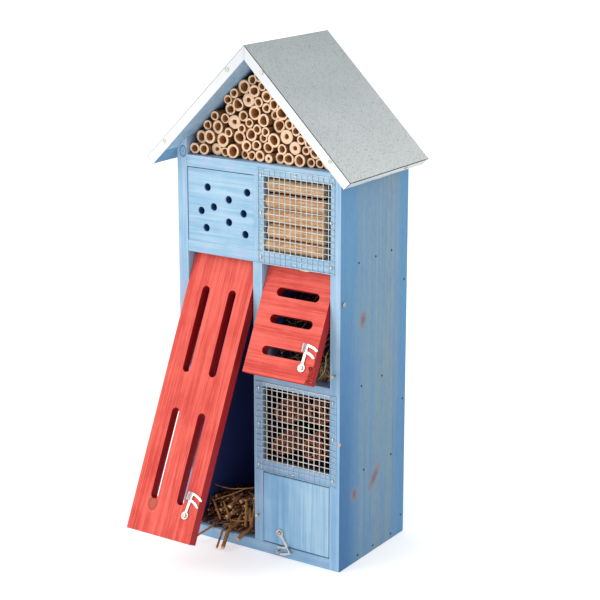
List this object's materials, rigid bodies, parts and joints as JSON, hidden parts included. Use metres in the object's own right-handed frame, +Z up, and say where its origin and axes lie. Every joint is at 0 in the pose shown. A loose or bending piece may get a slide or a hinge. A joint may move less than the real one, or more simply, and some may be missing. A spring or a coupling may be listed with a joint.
{
  "type": "insect hotel",
  "caption": "Upright wooden insect house with a pitched metal-clad roof, bamboo-filled gable, drilled block, wire-fronted bays and slotted flap doors with fork latches.",
  "frame": {"origin": "centre of the body's footprint, on the surface that it stands on", "axes": "+X to the right seen from the front, +Y towards the back, +Z up"},
  "size_m": [0.242, 0.239, 0.528],
  "materials": {
    "blue_stained_pine": "blue wood stain, satin",
    "red_stained_pine": "red wood stain, satin",
    "galvanised_sheet": "galvanised, matt",
    "galvanised_wire": "galvanised",
    "zinc_plated_steel": "bright zinc plate",
    "brass": "bare",
    "steel_nail": "bare",
    "bamboo": "cut cane",
    "peeled_log": "peeled, sawn ends",
    "pine_cone": "natural",
    "brushwood": "natural",
    "straw": "dry grass"
  },
  "bodies": {
    "house": {"back_board": "blue_stained_pine", "bamboo_layer_1": "bamboo", "bamboo_layer_2": "bamboo", "bamboo_layer_3": "bamboo", "bamboo_layer_4": "bamboo", "bamboo_layer_5": "bamboo", "bamboo_layer_6": "bamboo", "bamboo_layer_7": "bamboo", "base_board": "blue_stained_pine", "drilled_block": "blue_stained_pine", "gable_shelf": "blue_stained_pine", "left_wall": "blue_stained_pine", "loose_sticks": "brushwood", "lower_catch_pin": "brass", "lower_divider": "blue_stained_pine", "lower_door_pivots": "steel_nail", "lower_mesh": "galvanised_wire", "lower_mesh_staples": "galvanised_wire", "lower_shelf": "blue_stained_pine", "middle_shelf": "blue_stained_pine", "nest_straw": "straw", "pine_cone_1": "pine_cone", "pine_cone_2": "pine_cone", "pine_cone_3": "pine_cone", "pine_cone_4": "pine_cone", "right_wall": "blue_stained_pine", "roof_board_left": "blue_stained_pine", "roof_board_right": "blue_stained_pine", "roof_nails": "steel_nail", "roof_sheet": "galvanised_sheet", "shared_pivot": "steel_nail", "small_catch_pin": "brass", "small_door_pivot": "steel_nail", "tall_catch_pin": "brass", "tall_door_pivot": "steel_nail", "twig_bundle": "brushwood", "upper_divider": "blue_stained_pine", "upper_mesh": "galvanised_wire", "upper_mesh_staples": "galvanised_wire", "upper_shelf": "blue_stained_pine", "wall_nails": "steel_nail", "wood_log_1": "peeled_log", "wood_log_2": "peeled_log", "wood_log_3": "peeled_log", "wood_log_4": "peeled_log", "wood_log_5": "peeled_log"},
    "tall_leaf": {"tall_door": "red_stained_pine", "tall_latch_screw": "brass"},
    "tall_fork": {"tall_latch": "zinc_plated_steel"},
    "small_leaf": {"small_door": "red_stained_pine", "small_latch_screw": "brass"},
    "small_fork": {"small_latch": "zinc_plated_steel"},
    "lower_leaf": {"lower_door": "blue_stained_pine", "lower_latch_screw": "brass"},
    "lower_fork": {"lower_latch": "zinc_plated_steel"}
  },
  "joints": [
    {"name": "tall_door_swing", "type": "hinge", "parent": "house", "child": "tall_leaf", "pos_m": [0, -0.0585, 0.28], "axis": [-1, 0, 0], "range_deg": [-25.3, 64.7]},
    {"name": "small_door_swing", "type": "hinge", "parent": "house", "child": "small_leaf", "pos_m": [0, -0.0585, 0.28], "axis": [-1, 0, 0], "range_deg": [-26.3, 63.7]},
    {"name": "lower_door_swing", "type": "hinge", "parent": "house", "child": "lower_leaf", "pos_m": [0, -0.0585, 0.074], "axis": [-1, 0, 0], "range_deg": [0, 90]},
    {"name": "tall_latch_turn", "type": "hinge", "parent": "tall_leaf", "child": "tall_fork", "pos_m": [-0.019, -0.16422, 0.07004], "axis": [0, 0.9041, -0.4274], "range_deg": [-95, 82]},
    {"name": "small_latch_turn", "type": "hinge", "parent": "small_leaf", "child": "small_fork", "pos_m": [0.0728, -0.09445, 0.22046], "axis": [0, 0.8965, -0.4431], "range_deg": [-90, 85]},
    {"name": "lower_latch_turn", "type": "hinge", "parent": "lower_leaf", "child": "lower_fork", "pos_m": [0.0266, -0.06435, 0.0266], "axis": [0, 1, 0], "range_deg": [-150, 24]}
  ]
}
